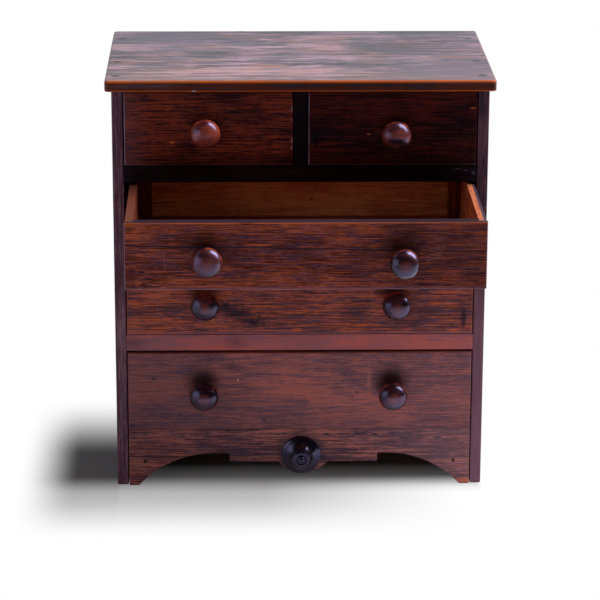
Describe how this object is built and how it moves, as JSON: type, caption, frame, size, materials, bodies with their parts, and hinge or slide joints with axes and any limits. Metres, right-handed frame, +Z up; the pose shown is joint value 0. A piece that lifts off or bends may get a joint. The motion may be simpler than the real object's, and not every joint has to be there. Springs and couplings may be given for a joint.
{
  "type": "tabletop chest of drawers",
  "caption": "Small wooden tabletop chest for sewing thread: short drawers over long ones, turned knobs, overhanging top, and a shaped apron with bracket feet and a turned boss.",
  "frame": {"origin": "on the floor, under the middle of the object's whole box at rest, with the second drawer standing open", "axes": "+Z up, -Y out of the drawers' fronts, +X to the right of someone who faces the drawers"},
  "size_m": [0.3314, 0.3502, 0.3645],
  "materials": {
    "dark_stained_wood": "dark red-brown stain, waxed, worn at the arrises",
    "red_stained_wood": "red-brown stain, smooth",
    "bare_pine": "unfinished, browned with age",
    "turned_knob_wood": "turned and polished",
    "ebonised_wood": "turned, stained black, polished",
    "iron_nail": "dull cut nail"
  },
  "bodies": {
    "carcass": {"top_board": "dark_stained_wood", "side_left": "dark_stained_wood", "side_right": "dark_stained_wood", "back_board_lower": "bare_pine", "back_board_upper": "bare_pine", "centre_divider": "dark_stained_wood", "centre_guide": "bare_pine", "rail_lower": "red_stained_wood", "rail_middle": "dark_stained_wood", "rail_upper": "dark_stained_wood", "runner_lower_left": "bare_pine", "runner_lower_right": "bare_pine", "runner_middle_left": "bare_pine", "runner_middle_right": "bare_pine", "runner_upper_left": "bare_pine", "runner_upper_right": "bare_pine", "runner_upper_centre": "bare_pine", "bottom_board": "bare_pine", "apron": "dark_stained_wood", "apron_boss": "ebonised_wood", "foot_glue_blocks": "bare_pine", "top_board_nails": "iron_nail", "back_board_nails": "iron_nail", "apron_nails": "iron_nail"},
    "deep_drawer": {"deep_drawer_front": "dark_stained_wood", "deep_drawer_side_left": "bare_pine", "deep_drawer_side_right": "bare_pine", "deep_drawer_back": "bare_pine", "deep_drawer_bottom": "bare_pine", "deep_drawer_knob_left": "turned_knob_wood", "deep_drawer_knob_right": "turned_knob_wood", "deep_drawer_corner_blocks": "bare_pine"},
    "third_drawer": {"third_drawer_front": "dark_stained_wood", "third_drawer_side_left": "bare_pine", "third_drawer_side_right": "bare_pine", "third_drawer_back": "bare_pine", "third_drawer_bottom": "bare_pine", "third_drawer_knob_left": "turned_knob_wood", "third_drawer_knob_right": "turned_knob_wood", "third_drawer_corner_blocks": "bare_pine"},
    "second_drawer": {"second_drawer_front": "dark_stained_wood", "second_drawer_side_left": "bare_pine", "second_drawer_side_right": "bare_pine", "second_drawer_back": "bare_pine", "second_drawer_bottom": "bare_pine", "second_drawer_knob_left": "turned_knob_wood", "second_drawer_knob_right": "turned_knob_wood", "second_drawer_corner_blocks": "bare_pine"},
    "short_drawer_left": {"short_drawer_left_front": "dark_stained_wood", "short_drawer_left_side_left": "bare_pine", "short_drawer_left_side_right": "bare_pine", "short_drawer_left_back": "bare_pine", "short_drawer_left_bottom": "bare_pine", "short_drawer_left_knob": "turned_knob_wood"},
    "short_drawer_right": {"short_drawer_right_front": "dark_stained_wood", "short_drawer_right_side_left": "bare_pine", "short_drawer_right_side_right": "bare_pine", "short_drawer_right_back": "bare_pine", "short_drawer_right_bottom": "bare_pine", "short_drawer_right_knob": "turned_knob_wood"}
  },
  "joints": [
    {"name": "deep_drawer_slide", "type": "slide", "parent": "carcass", "child": "deep_drawer", "axis": [0, -1, 0], "range_m": [0, 0.155]},
    {"name": "third_drawer_slide", "type": "slide", "parent": "carcass", "child": "third_drawer", "axis": [0, -1, 0], "range_m": [0, 0.155]},
    {"name": "second_drawer_slide", "type": "slide", "parent": "carcass", "child": "second_drawer", "axis": [0, -1, 0], "range_m": [-0.121, 0.034]},
    {"name": "short_drawer_left_slide", "type": "slide", "parent": "carcass", "child": "short_drawer_left", "axis": [0, -1, 0], "range_m": [0, 0.155]},
    {"name": "short_drawer_right_slide", "type": "slide", "parent": "carcass", "child": "short_drawer_right", "axis": [0, -1, 0], "range_m": [0, 0.155]}
  ]
}
